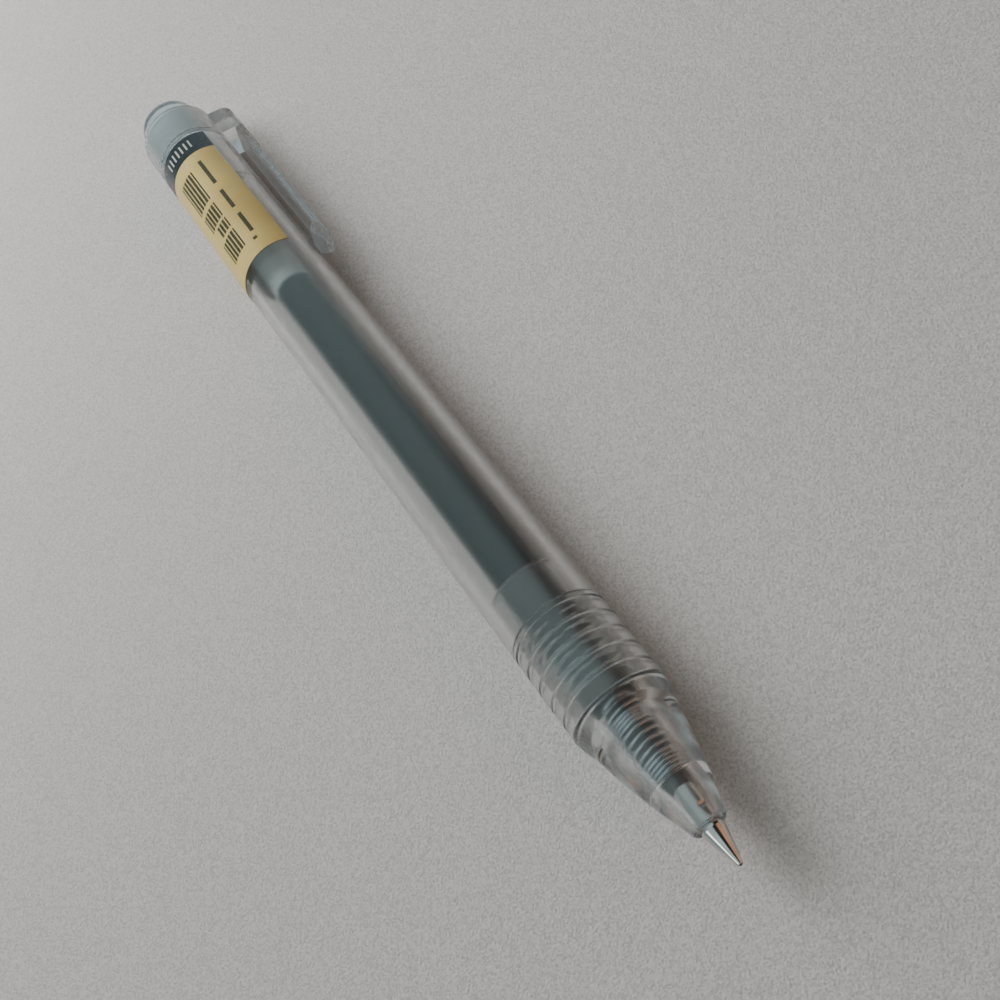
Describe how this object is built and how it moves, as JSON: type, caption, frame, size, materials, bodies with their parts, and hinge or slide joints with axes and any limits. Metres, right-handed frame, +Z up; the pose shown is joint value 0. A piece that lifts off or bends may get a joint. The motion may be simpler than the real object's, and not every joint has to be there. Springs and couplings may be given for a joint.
{
  "type": "retractable ballpoint pen",
  "caption": "Retractable gel ballpoint pen with a clear grooved barrel, clear screw-in nose, dark ink refill, spring, side clip and push button.",
  "frame": {"origin": "middle of the bounding box, at the table that the pen lies on", "axes": "+X along the pen towards the writing tip, +Z up from the table; the clip is on the +Y side and its edge rests on the table"},
  "size_m": [0.137, 0.0139, 0.0109],
  "materials": {
    "clear_barrel": "clear, slightly frosted by handling",
    "clear_nose": "clear gloss",
    "clear_tail": "clear gloss",
    "clear_button": "clear, cool tint",
    "white_plastic": "satin",
    "label": "printed sticker, satin",
    "refill_tube": "translucent",
    "ink": "wet black gel",
    "follower": "clear grease",
    "dark_plastic": "satin",
    "tip_metal": "bright turned",
    "ball_metal": "polished",
    "spring_steel": "bright drawn wire"
  },
  "bodies": {
    "casing": {"barrel": "clear_barrel", "label": "label", "clip_collar": "clear_tail", "cam_sleeve": "white_plastic"},
    "clip": {"clip_arm": "clear_tail"},
    "knock": {"knock_button": "clear_button", "plunger": "white_plastic"},
    "refill": {"refill_tube": "refill_tube", "ink": "ink", "ink_follower": "follower", "tip_holder": "dark_plastic", "metal_tip": "tip_metal", "ball_spring": "spring_steel", "writing_ball": "ball_metal"},
    "rotor": {"rotor": "white_plastic"},
    "spring": {"return_spring": "spring_steel"},
    "nose": {"nose_cone": "clear_nose"}
  },
  "joints": [
    {"name": "knock_slide", "type": "slide", "parent": "casing", "child": "knock", "axis": [1, 0, 0], "range_m": [-0.005, 0.0012]},
    {"name": "refill_slide", "type": "slide", "parent": "casing", "child": "refill", "axis": [1, 0, 0], "range_m": [-0.005, 0.0012], "deforming": ["return_spring"]},
    {"name": "rotor_turn", "type": "hinge", "parent": "refill", "child": "rotor", "pos_m": [-0.0415, -0.00149, 0.0054], "axis": [1, 0, 0], "continuous": true},
    {"name": "clip_flex", "type": "hinge", "parent": "casing", "child": "clip", "pos_m": [-0.0577, 0.00598, 0.002], "axis": [0, 0.4144, 0.9101], "range_deg": [0, 5], "stiffness_Nm_per_rad": 1.2},
    {"name": "nose_turn", "type": "hinge", "parent": "casing", "child": "spring", "pos_m": [0.05005, -0.00149, 0.0054], "axis": [1, 0, 0], "range_deg": [0, 1810]},
    {"name": "nose_travel", "type": "slide", "parent": "spring", "child": "nose", "axis": [1, 0, 0], "range_m": [0, 0.00525]}
  ],
  "couplings": [
    {"joint": "refill_slide", "follows": "knock_slide", "ratio": 1},
    {"joint": "nose_turn", "follows": "nose_travel", "rad_per_m": 5984}
  ]
}
